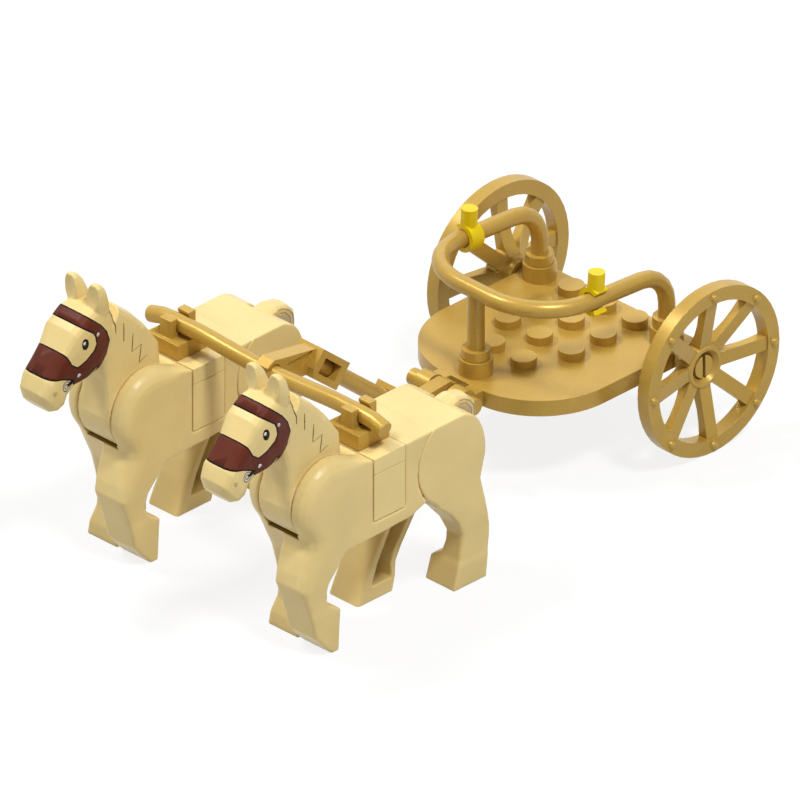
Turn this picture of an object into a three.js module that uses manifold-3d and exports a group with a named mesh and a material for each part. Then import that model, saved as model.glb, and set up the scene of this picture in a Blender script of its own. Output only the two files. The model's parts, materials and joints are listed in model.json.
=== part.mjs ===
// A moulded toy chariot on two spoked wheels, drawn by two horses under one yoke.
// Millimetres, +Z up. The team heads for -Y, so its left is +X. Every outline is drawn in side view,
// with x as the distance forward and y as the height, and turned into place by the helpers below.
import * as THREE from 'three';
import { ConvexGeometry } from 'three/addons/geometries/ConvexGeometry.js';
import { mergeVertices } from 'three/addons/utils/BufferGeometryUtils.js';
import Module from 'manifold-3d';

const wasm = await Module();
wasm.setup();

// Building grid
const PITCH = 8;
const PLATE = 3.2;
const HALF = 1 / 2;
const STUD_RADIUS = 2.4;
const STUD_HEIGHT = 1.7;
const BRICK_PLAY = 0.1;
const BRICK_WALL = 1.4;
const STUD_ROOM = 0.2;
const SEAT_GAP = 0.1;

// Round bars and what turns on them
const BAR_RADIUS = 1.6;
const RUN_GAP = 0.15;
const CLIP_GAP = 0.2;
const CLIP_WALL = 0.85;
const CLIP_MOUTH_ANGLE = Math.PI / 4.5;
const CLIP_TIP_SHARE = 0.65;

// Wheels
const WHEEL_RADIUS = 16.5;
const RIM_DEPTH = 2.8;
const RIM_WIDTH = 2.8;
const WHEEL_PLANE = 26.5;
const HUB_RADIUS = 4.3;
const HUB_LENGTH = 5.2;
const HUB_SETBACK = 2;
const HUB_FLANGE_RADIUS = 2.8;
const HUB_FLANGE_LENGTH = 1.2;
const HUB_MOUTH_RADIUS = 3.3;
const HUB_MOUTH_DEPTH = 1;
const HUB_CHAMFER = 0.4;
const SPOKES = 8;
const SPOKE_WIDTH = 2.7;
const SPOKE_THICKNESS = 2.1;
const SPOKE_ROOT = 3.3;
const RIVET_RADIUS = 0.85;
const RIVET_HEIGHT = 0.75;
const RIVET_CROWN_SHARE = 0.75;
const RIVET_RISE_SHARE = 0.65;

// Axle stubs with split snap ends
const SNAP_RADIUS = 2.2;
const SNAP_LENGTH = 1;
const SNAP_SPLIT = 0.7;
const SNAP_SPLIT_DEPTH = 4;
const SNAP_GAP = 0.3;

// Platform, counted in studs where it follows the grid
const DECK_STUDS = 5;
const CORNER_STUDS = 2;
const STUDS_PER_ROW = [3, 3, 3, 2];
const TUBES_PER_ROW = [4, 4];
const PLATFORM_WALL = 1.5;
const PLATFORM_SKIN = 1.2;
const TUBE_RADIUS = 3.25;
const BOSS_RADIUS = 3.1;
const BOSS_HEIGHT = 3.2;
const HINGE_REACH = 4;
const HINGE_RISE = 0.8;
const HINGE_BAR_LENGTH = 16;
const LUG_WIDTH = 3.2;
const LUG_SPREAD = 4;
const LUG_RADIUS = 2.4;

// Rail
const RAIL_HEIGHT_REAR = 14.9;
const RAIL_HEIGHT_FRONT = 16.7;
const RAIL_BEND = 7;
const RAIL_STUDS = 4;
const RAIL_CORNER_STUDS = 1.5;
const FOOT_DEPTH = 2.4;
const COLLAR_RADIUS = 2.6;
const COLLAR_HEIGHT = 1.8;

// Rein grips on the rail
const GRIP_PLACE = 22;
const GRIP_WIDTH = 3;
const GRIP_WALL = 0.9;
const GRIP_MOUTH_ANGLE = Math.PI / 3.4;
const PEG_RADIUS = 1.55;
const PEG_HEIGHT = 5.6;

// Horses, measured from the axis of the yoke. Shares are of the back's height.
const BACK_HEIGHT = 35.4;
const TEAM_SPREAD = 22.75;
const HIP_BEHIND_SHARE = 0.4774;
const HIP_HEIGHT_SHARE = 0.7825;
const HIP_RADIUS_SHARE = 0.2655;
const HIP_ARC_START = -0.6 * Math.PI;
const HIP_GAP = 0.3;
const NECK_HEIGHT_SHARE = 0.853;
const NECK_RADIUS_SHARE = 0.2274;
const NECK_ROOT_SHARE = 0.7;
const NECK_WIDTH = 8;
const SHOULDER_RADIUS_SHARE = 0.2316;
const SHOULDER_ROUND = 3;
const SHOULDER_RINGS = 4;
const POCKET_WALL = 0.75;
const POCKET_PLATES = 4;
const FILLER_PLATES = 3;
const JOINT_GAP = 0.3;
const TRUNNION_RADIUS = 2;
const TRUNNION_LENGTH = 1.2;
const TONGUE_WIDTH = 5;
const TONGUE_RADIUS = 4.2;
const TONGUE_HEIGHT = 4;
const REARING_ANGLE = Math.PI / 6;
const LEG_EDGE = 0.5;
const TAIL_WIDTH = 4.6;
const TAIL_SWEEP = 4.9;
const TAIL_SLOT_DEPTH = 3.1;
const TAIL_SQUARENESS = 2.6;

// Yoke and its clips
const YOKE_PLACE = 88.3;
const YOKE_CLEAR = 0.25;
const YOKE_HALF = 29.5;
const YOKE_DIP = 0.75;
const YOKE_TIP_DROP = 1;
const PRONG_WIDTH = 2.9;
const PRONG_BLOCK = 6.3;
const PRONG_OVER_BAR = 1.85;
const PRONG_MOUTH = 2.7;

// Pole
const TUBE_LENGTH = 8.6;
const TUBE_HEIGHT = 5.5;
const TUBE_WIDTH = 6;
const WINDOW_LENGTH = 5.2;
const WINDOW_HEIGHT = 3;
const TUBE_END_WALL = 0.8;
const TUBE_CHIN_LENGTH = 1;
const TUBE_CHIN_HEIGHT = 1.5;
const ARM_WIDTH = 3;
const ARM_RECESS = 0.5;
const ARM_RIM = 1.1;
const REAR_ARM_REACH = 12.1;
const REAR_ARM_RISE = 2.2;
const FRONT_ARM_REACH = 12.6;
const FRONT_ARM_DROP = 3.75;
const ROD_INSERT = 1;

// Facets and overruns
const OVERRUN = 1;
const MERGE_DISTANCE = 1e-4;
const ROUND_STEPS = 24;
const SMALL_STEPS = 16;
const ARC_STEPS = 10;
const TUBE_STEPS = 10;
const CORNER_STEPS = 4;
const NEARLY_ALONG = 0.95;

// Places worked out from the sizes above
const axleForward = PITCH / 2;
const axleHeight = WHEEL_RADIUS;
const platformLength = DECK_STUDS * PITCH;
const platformHalf = platformLength / 2;
const cornerRadius = CORNER_STUDS * PITCH;
const platformBottom = axleHeight - PLATE / 2;
const platformTop = axleHeight + PLATE / 2;
const railHalf = (RAIL_STUDS * PITCH) / 2;
const railFront = platformLength - PITCH / 2;
const railCorner = RAIL_CORNER_STUDS * PITCH;
const hinge = new THREE.Vector2(platformLength + HINGE_REACH, axleHeight + HINGE_RISE);
const clipTileTop = BACK_HEIGHT + PLATE;
const yokeHeight = clipTileTop + YOKE_CLEAR + BAR_RADIUS;
const yokeMiddle = new THREE.Vector2(YOKE_PLACE, yokeHeight - YOKE_DIP);
const horseHalf = PITCH - BRICK_PLAY;
const pocketHalf = PITCH / 2 + BRICK_PLAY;
const pocketFloor = BACK_HEIGHT - POCKET_PLATES * PLATE;
const hip = new THREE.Vector2(-HIP_BEHIND_SHARE, HIP_HEIGHT_SHARE).multiplyScalar(BACK_HEIGHT);
const hipRadius = HIP_RADIUS_SHARE * BACK_HEIGHT;
const neckRadius = NECK_RADIUS_SHARE * BACK_HEIGHT;
const shoulderRadius = SHOULDER_RADIUS_SHARE * BACK_HEIGHT;
const slotRadius = neckRadius + JOINT_GAP;
const neckHeight = NECK_HEIGHT_SHARE * BACK_HEIGHT;
const neckPivot = new THREE.Vector2(pocketHalf + POCKET_WALL + slotRadius, neckHeight);

// Colours of the three plastics
const gold = new THREE.MeshStandardMaterial({ color: 0xb8923f, roughness: 0.42, metalness: 0.35 });
const yellow = new THREE.MeshStandardMaterial({ color: 0xf0cc10, roughness: 0.4, metalness: 0 });
const tan = new THREE.MeshStandardMaterial({ color: 0xd8c68a, roughness: 0.45, metalness: 0 });

// A place in the model, from its distance to the left, forward and up
const at = (left, forward, up) => new THREE.Vector3(left, -forward, up);

// Turns an outline's forward and height into -Y and +Z
const SIDEWAYS = new THREE.Matrix4().makeBasis(
  new THREE.Vector3(0, -1, 0),
  new THREE.Vector3(0, 0, 1),
  new THREE.Vector3(-1, 0, 0),
);

// Makes a closed geometry into a solid that can be cut and joined
function solid(geometry) {
  geometry.deleteAttribute('normal');
  geometry.deleteAttribute('uv');
  const merged = mergeVertices(geometry, MERGE_DISTANCE);
  const corners = merged.index.array;
  const kept = [];
  for (let i = 0; i < corners.length; i += 3) {
    const [a, b, c] = corners.slice(i, i + 3);
    if (a !== b && b !== c && c !== a) kept.push(a, b, c);
  }
  return new wasm.Manifold(new wasm.Mesh({
    numProp: 3,
    vertProperties: new Float32Array(merged.attributes.position.array),
    triVerts: new Uint32Array(kept),
  }));
}

// Makes a solid back into a mesh with a name
function piece(name, body, material) {
  const { numProp, vertProperties, triVerts } = body.getMesh();
  const positions = [];
  for (let i = 0; i < vertProperties.length; i += numProp) {
    positions.push(...vertProperties.slice(i, i + 3));
  }
  const geometry = new THREE.BufferGeometry();
  geometry.setAttribute('position', new THREE.Float32BufferAttribute(positions, 3));
  geometry.setIndex([...triVerts]);
  const faceted = geometry.toNonIndexed();
  faceted.computeVertexNormals();
  const mesh = new THREE.Mesh(faceted, material);
  mesh.name = name;
  return mesh;
}

const joined = (...bodies) => bodies.reduce((whole, next) => whole.add(next));
const moved = (body, left, forward, up) => body.translate([left, -forward, up]);

// A side-view outline given thickness across the model, centred on the given distance to the left
function slab(shape, width, left = 0) {
  const settings = { depth: width, bevelEnabled: false, curveSegments: ARC_STEPS };
  const geometry = new THREE.ExtrudeGeometry(shape, settings);
  geometry.translate(0, 0, -width / 2);
  geometry.applyMatrix4(SIDEWAYS);
  geometry.translate(left, 0, 0);
  return solid(geometry);
}

// A closed side-view polygon
const polygon = (points) => new THREE.Shape(points.map(([x, y]) => new THREE.Vector2(x, y)));

// A round bar between two places
function bar(from, to, radius, steps = ROUND_STEPS) {
  const along = to.clone().sub(from);
  const geometry = new THREE.CylinderGeometry(radius, radius, along.length(), steps);
  const turn = new THREE.Quaternion().setFromUnitVectors(new THREE.Vector3(0, 1, 0), along.normalize());
  geometry.applyQuaternion(turn);
  geometry.translate(...from.clone().add(to).divideScalar(2).toArray());
  return solid(geometry);
}

// A box from its middle and its three sizes
function block(left, forward, up, across, along, height) {
  const geometry = new THREE.BoxGeometry(across, along, height);
  geometry.translate(left, -forward, up);
  return solid(geometry);
}

// A box on the middle line, standing on a height
const boxOf = (base, across, along, height) => block(0, 0, base + height / 2, across, along, height);

// A round stud standing on a face
const stud = (left, forward, base) => bar(
  at(left, forward, base - SEAT_GAP),
  at(left, forward, base + STUD_HEIGHT),
  STUD_RADIUS,
  SMALL_STEPS,
);

// A profile of [radius, height] pairs turned about an axis that runs to the left
function turned(profile, steps) {
  const geometry = new THREE.LatheGeometry(profile.map(([r, y]) => new THREE.Vector2(r, y)), steps);
  geometry.rotateZ(-Math.PI / 2);
  return solid(geometry);
}

// A skin over rings of places, each ring closed by its middle at the two ends
function loft(rings) {
  const count = rings[0].length;
  const points = rings.flat();
  const middle = (ring) => ring.reduce((sum, p) => sum.add(p), new THREE.Vector3()).divideScalar(count);
  points.push(middle(rings[0]), middle(rings.at(-1)));
  const first = points.length - 2;
  const index = [];
  for (let i = 0; i < count; i++) {
    const j = (i + 1) % count;
    const last = (rings.length - 1) * count;
    index.push(first, j, i, first + 1, last + i, last + j);
    for (let r = 0; r < last; r += count) {
      index.push(r + i, r + j, r + count + j, r + i, r + count + j, r + count + i);
    }
  }
  const geometry = new THREE.BufferGeometry();
  const values = points.flatMap((p) => p.toArray());
  geometry.setAttribute('position', new THREE.Float32BufferAttribute(values, 3));
  geometry.setIndex(index);
  return solid(geometry);
}

// A rounded ring about a middle, spanned by two half-axes. The power sets how square it is.
function ring(middle, halfA, halfB, power, count = SMALL_STEPS) {
  const bend = (value) => Math.sign(value) * Math.abs(value) ** (2 / power);
  return Array.from({ length: count }, (_, i) => {
    const angle = (2 * Math.PI * (i + HALF)) / count;
    return middle.clone()
      .addScaledVector(halfA, bend(Math.cos(angle)))
      .addScaledVector(halfB, bend(Math.sin(angle)));
  });
}

// The outline of a spring clip about the origin, with slanted jaws and a mouth towards +x
function clipOutline(hole, outer) {
  const mouth = CLIP_MOUTH_ANGLE;
  const tip = outer * CLIP_TIP_SHARE;
  const shape = new THREE.Shape();
  shape.absarc(0, 0, outer, Math.PI / 2, -Math.PI / 2, false);
  shape.lineTo(tip, -tip);
  shape.absarc(0, 0, hole, 2 * Math.PI - mouth, mouth, true);
  shape.lineTo(tip, tip);
  return shape;
}

// Platform: a plate with round front corners, hollow beneath, with studs, bosses, hinge bar and axle stubs
function platformOutline(inset) {
  const half = platformHalf - inset;
  const radius = cornerRadius - inset;
  const middle = platformHalf - cornerRadius;
  const straight = platformLength - cornerRadius;
  const shape = new THREE.Shape();
  shape.moveTo(-half, -inset);
  shape.lineTo(-half, -straight);
  shape.absarc(-middle, -straight, radius, Math.PI, 1.5 * Math.PI, false);
  shape.absarc(middle, -straight, radius, 1.5 * Math.PI, 2 * Math.PI, false);
  shape.lineTo(half, -inset);
  return shape;
}

function plateLayer(inset, bottom, thickness) {
  const settings = { depth: thickness, bevelEnabled: false, curveSegments: ARC_STEPS };
  const geometry = new THREE.ExtrudeGeometry(platformOutline(inset), settings);
  geometry.translate(0, 0, bottom);
  return solid(geometry);
}

// Places of a row on the grid, centred on the deck
const rowOf = (count, forward) => Array.from({ length: count }, (_, i) => [
  (i - (count - 1) / 2) * PITCH,
  forward,
]);
const studPlaces = STUDS_PER_ROW.flatMap((count, row) => rowOf(count, (row + HALF) * PITCH));
const tubePlaces = TUBES_PER_ROW.flatMap((count, row) => rowOf(count, (row + 1) * PITCH));
const bossPlaces = [[-railHalf, axleForward], [railHalf, axleForward], [0, railFront]];

function platform() {
  const hollow = plateLayer(PLATFORM_WALL, platformBottom - OVERRUN, PLATE - PLATFORM_SKIN + OVERRUN);
  let body = plateLayer(0, platformBottom, PLATE).subtract(hollow);
  const ceiling = platformTop - PLATFORM_SKIN / 2;
  for (const [left, forward] of tubePlaces) {
    const tube = bar(
      at(left, forward, platformBottom),
      at(left, forward, ceiling),
      TUBE_RADIUS,
      TUBE_STEPS,
    );
    const hole = bar(
      at(left, forward, platformBottom - OVERRUN),
      at(left, forward, platformTop - PLATFORM_SKIN),
      STUD_RADIUS,
      TUBE_STEPS,
    );
    body = body.add(tube).subtract(hole);
  }
  for (const [left, forward] of studPlaces) body = body.add(stud(left, forward, platformTop));
  for (const [left, forward] of bossPlaces) {
    const top = platformTop + BOSS_HEIGHT;
    body = body.add(bar(at(left, forward, ceiling), at(left, forward, top), BOSS_RADIUS, SMALL_STEPS));
    const bottom = top - FOOT_DEPTH - SEAT_GAP;
    const hole = bar(
      at(left, forward, bottom),
      at(left, forward, top + OVERRUN),
      BAR_RADIUS + RUN_GAP,
      SMALL_STEPS,
    );
    body = body.subtract(hole);
  }
  return joined(body, hingeBar(), axleStub(1), axleStub(-1));
}

// Two lugs and the cross bar that the pole hangs on
function hingeBar() {
  const half = HINGE_BAR_LENGTH / 2;
  let body = bar(at(-half, hinge.x, hinge.y), at(half, hinge.x, hinge.y), BAR_RADIUS, SMALL_STEPS);
  for (const side of [-1, 1]) {
    const left = side * LUG_SPREAD;
    const knuckle = bar(
      at(left - LUG_WIDTH / 2, hinge.x, hinge.y),
      at(left + LUG_WIDTH / 2, hinge.x, hinge.y),
      LUG_RADIUS,
      SMALL_STEPS,
    );
    const rear = platformLength - PLATFORM_WALL;
    const web = polygon([
      [rear, platformBottom],
      [hinge.x, hinge.y - LUG_RADIUS],
      [hinge.x, platformTop],
      [rear, platformTop],
    ]);
    body = joined(body, knuckle, slab(web, LUG_WIDTH, left));
  }
  return body;
}

// One axle stub, with a snap lip and an upright split at its end
function axleStub(side) {
  const lipEnd = WHEEL_PLANE + RIM_WIDTH / 2 - HUB_SETBACK - HUB_MOUTH_DEPTH / 2;
  const lipStart = lipEnd - SNAP_LENGTH;
  const onAxle = (left) => at(side * left, axleForward, axleHeight);
  const shaft = bar(onAxle(platformHalf - PLATFORM_WALL), onAxle(lipEnd), BAR_RADIUS);
  const lip = bar(onAxle(lipStart), onAxle(lipEnd), SNAP_RADIUS);
  const split = block(
    side * (lipEnd - SNAP_SPLIT_DEPTH / 2 + OVERRUN / 2),
    axleForward,
    axleHeight,
    SNAP_SPLIT_DEPTH + OVERRUN,
    SNAP_SPLIT,
    2 * SNAP_RADIUS + OVERRUN,
  );
  return joined(shaft, lip).subtract(split);
}

// Wheel about its own middle, its outer face towards +X
function wheel() {
  const rimInner = WHEEL_RADIUS - RIM_DEPTH;
  const rimHalf = RIM_WIDTH / 2;
  const hubFace = rimHalf - HUB_SETBACK;
  const hubBack = hubFace - HUB_LENGTH;
  const hubStep = hubBack + HUB_FLANGE_LENGTH;
  const bore = BAR_RADIUS + RUN_GAP;
  const pocket = SNAP_RADIUS + SNAP_GAP;
  const pocketFloorPlace = hubFace - HUB_MOUTH_DEPTH / 2 - SNAP_LENGTH - SNAP_GAP;
  const rim = turned([
    [rimInner, -rimHalf],
    [WHEEL_RADIUS, -rimHalf],
    [WHEEL_RADIUS, rimHalf],
    [rimInner, rimHalf],
    [rimInner, -rimHalf],
  ], 2 * ROUND_STEPS);
  const hub = turned([
    [bore, hubBack],
    [HUB_FLANGE_RADIUS, hubBack],
    [HUB_FLANGE_RADIUS, hubStep],
    [HUB_RADIUS, hubStep + HUB_FLANGE_LENGTH],
    [HUB_RADIUS, hubFace - HUB_CHAMFER],
    [HUB_RADIUS - HUB_CHAMFER, hubFace],
    [HUB_MOUTH_RADIUS, hubFace],
    [pocket, hubFace - HUB_MOUTH_DEPTH],
    [pocket, pocketFloorPlace],
    [bore, pocketFloorPlace],
    [bore, hubBack],
  ], ROUND_STEPS);
  let body = joined(rim, hub);
  for (let i = 0; i < SPOKES; i++) {
    const turn = (i * 360) / SPOKES;
    body = joined(body, spoke().rotate([turn, 0, 0]), rivet().rotate([turn, 0, 0]));
  }
  return body;
}

// A dished spoke, standing up from the hub and deepening towards it
function spoke() {
  const rimInner = WHEEL_RADIUS - RIM_DEPTH;
  const span = rimInner - SPOKE_ROOT;
  const outerTop = RIM_WIDTH / 2 - HUB_CHAMFER;
  const outerRoot = RIM_WIDTH / 2 - HUB_SETBACK - HUB_CHAMFER;
  const innerTop = outerTop - SPOKE_THICKNESS;
  const innerRoot = outerTop - HUB_LENGTH;
  const shape = new THREE.Shape();
  shape.moveTo(outerRoot, SPOKE_ROOT);
  shape.lineTo(outerTop, rimInner);
  shape.lineTo(outerTop, rimInner + RIM_DEPTH / 2);
  shape.lineTo(innerTop, rimInner + RIM_DEPTH / 2);
  shape.lineTo(innerTop, rimInner);
  shape.quadraticCurveTo(innerTop, SPOKE_ROOT + span / 3, innerRoot, SPOKE_ROOT);
  const settings = { depth: SPOKE_WIDTH, bevelEnabled: false, curveSegments: ARC_STEPS / 2 };
  const geometry = new THREE.ExtrudeGeometry(shape, settings);
  geometry.translate(0, 0, -SPOKE_WIDTH / 2);
  geometry.rotateX(Math.PI / 2);
  return solid(geometry);
}

// A domed rivet on the rim's outer face
function rivet() {
  const face = RIM_WIDTH / 2;
  const dome = turned([
    [0, face - RIVET_HEIGHT],
    [RIVET_RADIUS, face - RIVET_HEIGHT],
    [RIVET_RADIUS, face],
    [RIVET_RADIUS * RIVET_CROWN_SHARE, face + RIVET_HEIGHT * RIVET_RISE_SHARE],
    [0, face + RIVET_HEIGHT],
  ], SMALL_STEPS / 2);
  return dome.translate([0, 0, WHEEL_RADIUS - RIM_DEPTH / 2]);
}

// An arc in space from two half-axes at right angles
class SpaceArc extends THREE.Curve {
  constructor(middle, start, end, angle) {
    super();
    Object.assign(this, { middle, start, end, angle });
  }

  getPoint(t, target = new THREE.Vector3()) {
    return target.copy(this.middle)
      .addScaledVector(this.start, Math.cos(t * this.angle))
      .addScaledVector(this.end, Math.sin(t * this.angle));
  }
}

// The rail's upper part rises evenly towards the front
const bendPlace = axleForward + RAIL_BEND;
const railRise = (RAIL_HEIGHT_FRONT - RAIL_HEIGHT_REAR) / (railFront - bendPlace);
const railSlope = Math.atan(railRise);
const railZ = (forward) => platformTop + RAIL_HEIGHT_REAR + railRise * (forward - bendPlace);

// Half of the rail's centre line, from the foot on the given side to the middle of the front
function railHalfPath(side) {
  const left = side * railHalf;
  const middle = at(left, bendPlace, railZ(bendPlace) - RAIL_BEND);
  const foot = at(left, axleForward, platformTop + BOSS_HEIGHT - FOOT_DEPTH);
  const cornerPlace = railFront - railCorner;
  const cornerMiddle = at(side * (railHalf - railCorner), cornerPlace, railZ(cornerPlace));
  const bend = new SpaceArc(middle, at(0, -RAIL_BEND, 0), at(0, 0, RAIL_BEND), Math.PI / 2 - railSlope);
  const corner = new SpaceArc(
    cornerMiddle,
    at(side * railCorner, 0, 0),
    at(0, railCorner, railRise * railCorner),
    Math.PI / 2,
  );
  return [
    new THREE.LineCurve3(foot, bend.getPoint(0)),
    bend,
    new THREE.LineCurve3(bend.getPoint(1), corner.getPoint(0)),
    corner,
    new THREE.LineCurve3(corner.getPoint(1), at(0, railFront, railZ(railFront))),
  ];
}

// Places along a list of joined curves, with as many steps for each as asked
function placesAlong(curves, steps) {
  const places = curves.flatMap((curve, i) => curve.getSpacedPoints(steps[i]).slice(0, -1));
  places.push(curves.at(-1).getPoint(1));
  return places;
}

// A round tube through a list of places, mitred at each
function tubeThrough(places, radius, count) {
  let across = new THREE.Vector3(1, 0, 0);
  const rings = places.map((place, i) => {
    const back = places[Math.max(i - 1, 0)];
    const ahead = places[Math.min(i + 1, places.length - 1)];
    const along = ahead.clone().sub(back).normalize();
    if (Math.abs(across.dot(along)) > NEARLY_ALONG) across = new THREE.Vector3(0, 1, 0);
    across = across.clone().addScaledVector(along, -across.dot(along)).normalize();
    const up = along.clone().cross(across);
    return ring(place, across.clone().multiplyScalar(radius), up.multiplyScalar(radius), 2, count);
  });
  return loft(rings);
}

function rail() {
  const steps = [1, ARC_STEPS / 2, 1, ARC_STEPS - 2, 1];
  const leftHalf = placesAlong(railHalfPath(1), steps);
  const rightHalf = placesAlong(railHalfPath(-1), steps).reverse();
  const upper = tubeThrough([...leftHalf, ...rightHalf.slice(1)], BAR_RADIUS, SMALL_STEPS);
  const footTop = platformTop + BOSS_HEIGHT;
  const frontPost = bar(
    at(0, railFront, footTop - FOOT_DEPTH),
    at(0, railFront, railZ(railFront)),
    BAR_RADIUS,
    SMALL_STEPS,
  );
  const collars = bossPlaces.map(([left, forward]) => bar(
    at(left, forward, footTop + SEAT_GAP),
    at(left, forward, footTop + SEAT_GAP + COLLAR_HEIGHT),
    COLLAR_RADIUS,
    SMALL_STEPS,
  ));
  return joined(upper, frontPost, ...collars);
}

// Rein grip about the rail's axis, which runs along Y in its own frame. Its mouth is towards +X.
function grip() {
  const hole = BAR_RADIUS + CLIP_GAP;
  const outer = hole + GRIP_WALL;
  const shape = new THREE.Shape();
  shape.absarc(0, 0, outer, GRIP_MOUTH_ANGLE, 2 * Math.PI - GRIP_MOUTH_ANGLE, false);
  shape.absarc(0, 0, hole, 2 * Math.PI - GRIP_MOUTH_ANGLE, GRIP_MOUTH_ANGLE, true);
  const settings = { depth: GRIP_WIDTH, bevelEnabled: false, curveSegments: ARC_STEPS };
  const geometry = new THREE.ExtrudeGeometry(shape, settings);
  geometry.translate(0, 0, -GRIP_WIDTH / 2);
  geometry.rotateX(Math.PI / 2);
  const peg = bar(at(0, 0, hole + GRIP_WALL / 4), at(0, 0, PEG_HEIGHT), PEG_RADIUS);
  return solid(geometry).add(peg);
}

// Pole: the slope of the rod follows from the hinge and the yoke
const rearTube = hinge.clone().add(new THREE.Vector2(REAR_ARM_REACH, REAR_ARM_RISE));
const frontTube = yokeMiddle.clone().sub(new THREE.Vector2(FRONT_ARM_REACH, FRONT_ARM_DROP));
const rodAlong = frontTube.clone().sub(rearTube).normalize();
const rodUp = new THREE.Vector2(-rodAlong.y, rodAlong.x);
const onRod = (start, along, up) => start.clone().addScaledVector(rodAlong, along).addScaledVector(rodUp, up);
const pair = (point) => [point.x, point.y];

const onRodSlab = (middle, places, width) => slab(
  polygon(places.map(([along, up]) => pair(onRod(middle, along, up)))),
  width,
);

// The tube's block, cut back under its chin on the arm's side
function tubeBlock(middle, facing) {
  const [l, h] = [facing * (TUBE_LENGTH / 2), TUBE_HEIGHT / 2];
  const chin = l - facing * TUBE_CHIN_LENGTH;
  return onRodSlab(middle, [[-l, -h], [chin, -h], [l, TUBE_CHIN_HEIGHT - h], [l, h], [-l, h]], TUBE_WIDTH);
}

// The window through the block's sides
function tubeWindow(middle) {
  const [l, h] = [WINDOW_LENGTH / 2, WINDOW_HEIGHT / 2];
  return onRodSlab(middle, [[-l, -h], [l, -h], [l, h], [-l, h]], TUBE_WIDTH + OVERRUN);
}

// A holder: a windowed tube on the rod's slope, an arm with shallow recesses, and a spring clip
function holder(clipAt, tubeAt, facing) {
  const hole = BAR_RADIUS + CLIP_GAP;
  const outer = hole + CLIP_WALL;
  const tube = tubeBlock(tubeAt, facing);
  const end = facing * (TUBE_LENGTH / 2);
  const [low, high] = [onRod(tubeAt, end, -TUBE_HEIGHT / 2), onRod(tubeAt, end, TUBE_HEIGHT / 2)];
  const sunkLow = onRod(low, -facing * TUBE_END_WALL, 0);
  const sunkHigh = onRod(high, -facing * TUBE_END_WALL, 0);
  const armLow = new THREE.Vector2(clipAt.x, clipAt.y - outer);
  const armHigh = new THREE.Vector2(clipAt.x, clipAt.y + outer);
  const arm = slab(polygon([armLow, sunkLow, sunkHigh, armHigh].map(pair)), ARM_WIDTH);
  const ringBody = slab(clipOutline(hole, outer), ARM_WIDTH);
  const turnedRing = facing > 0 ? ringBody : ringBody.mirror([0, 1, 0]);
  const eye = bar(at(-ARM_WIDTH, clipAt.x, clipAt.y), at(ARM_WIDTH, clipAt.x, clipAt.y), hole);
  const boreEnd = TUBE_LENGTH / 2 - TUBE_END_WALL;
  const boreFrom = onRod(tubeAt, -facing * (TUBE_LENGTH / 2 + OVERRUN), 0);
  const boreTo = onRod(tubeAt, facing * boreEnd, 0);
  const bore = bar(
    at(0, ...pair(boreFrom)),
    at(0, ...pair(boreTo)),
    BAR_RADIUS + RUN_GAP,
    SMALL_STEPS,
  );
  const middle = armLow.clone().add(armHigh).add(low).add(high).divideScalar(4);
  const inward = (point) => point.clone().lerp(middle, ARM_RIM / point.distanceTo(middle));
  const pocketOutline = [
    inward(new THREE.Vector2(clipAt.x - facing * outer, armLow.y + ARM_RIM)),
    inward(low),
    inward(high),
    inward(new THREE.Vector2(clipAt.x - facing * outer, armHigh.y - ARM_RIM)),
  ];
  const recess = (left) => slab(polygon(pocketOutline.map(pair)), 2 * ARM_RECESS, left);
  const recesses = joined(recess(-ARM_WIDTH / 2), recess(ARM_WIDTH / 2));
  const clipRing = moved(turnedRing, 0, clipAt.x, clipAt.y);
  return joined(arm.subtract(eye).subtract(recesses), tube, clipRing)
    .subtract(bore)
    .subtract(tubeWindow(tubeAt));
}

// The yoke dips between the horses and drops a little at its tips
function yokeBar() {
  const inner = TEAM_SPREAD - PRONG_WIDTH;
  const outer = TEAM_SPREAD + PRONG_WIDTH;
  const half = [
    [0, YOKE_DIP],
    [ARM_WIDTH, YOKE_DIP],
    [inner / 2, YOKE_DIP / 2],
    [inner - ARM_WIDTH, 0],
    [inner, 0],
    [TEAM_SPREAD, 0],
    [outer, 0],
    [YOKE_HALF, YOKE_TIP_DROP],
  ];
  const side = (sign) => half.map(([left, drop]) => at(sign * left, YOKE_PLACE, yokeHeight - drop));
  const curve = new THREE.CatmullRomCurve3([...side(-1).reverse(), ...side(1).slice(1)]);
  return tubeThrough(curve.getSpacedPoints(2 * ARC_STEPS), BAR_RADIUS, SMALL_STEPS);
}

// Horse outlines, as shares of the back's height, measured from the yoke's axis
const torsoBellyShares = [[0.4, 0.62], [0.36, 0.545], [0.218, 0.55], [-0.15, 0.562], [-0.263, 0.602]];
const rumpShares = [
  [-0.54, 1], [-0.619, 0.955], [-0.669, 0.864],
  [-0.689, 0.751], [-0.669, 0.661], [-0.653, 0.593],
];
const legRecessShares = [
  [-0.387, 0.412], [-0.257, 0.223], [-0.24, 0.164], [-0.246, 0.082],
  [-0.102, 0.082], [-0.147, 0.201], [-0.226, 0.345], [-0.263, 0.412],
];
const legRecessDepthShare = 0.8;

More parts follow.
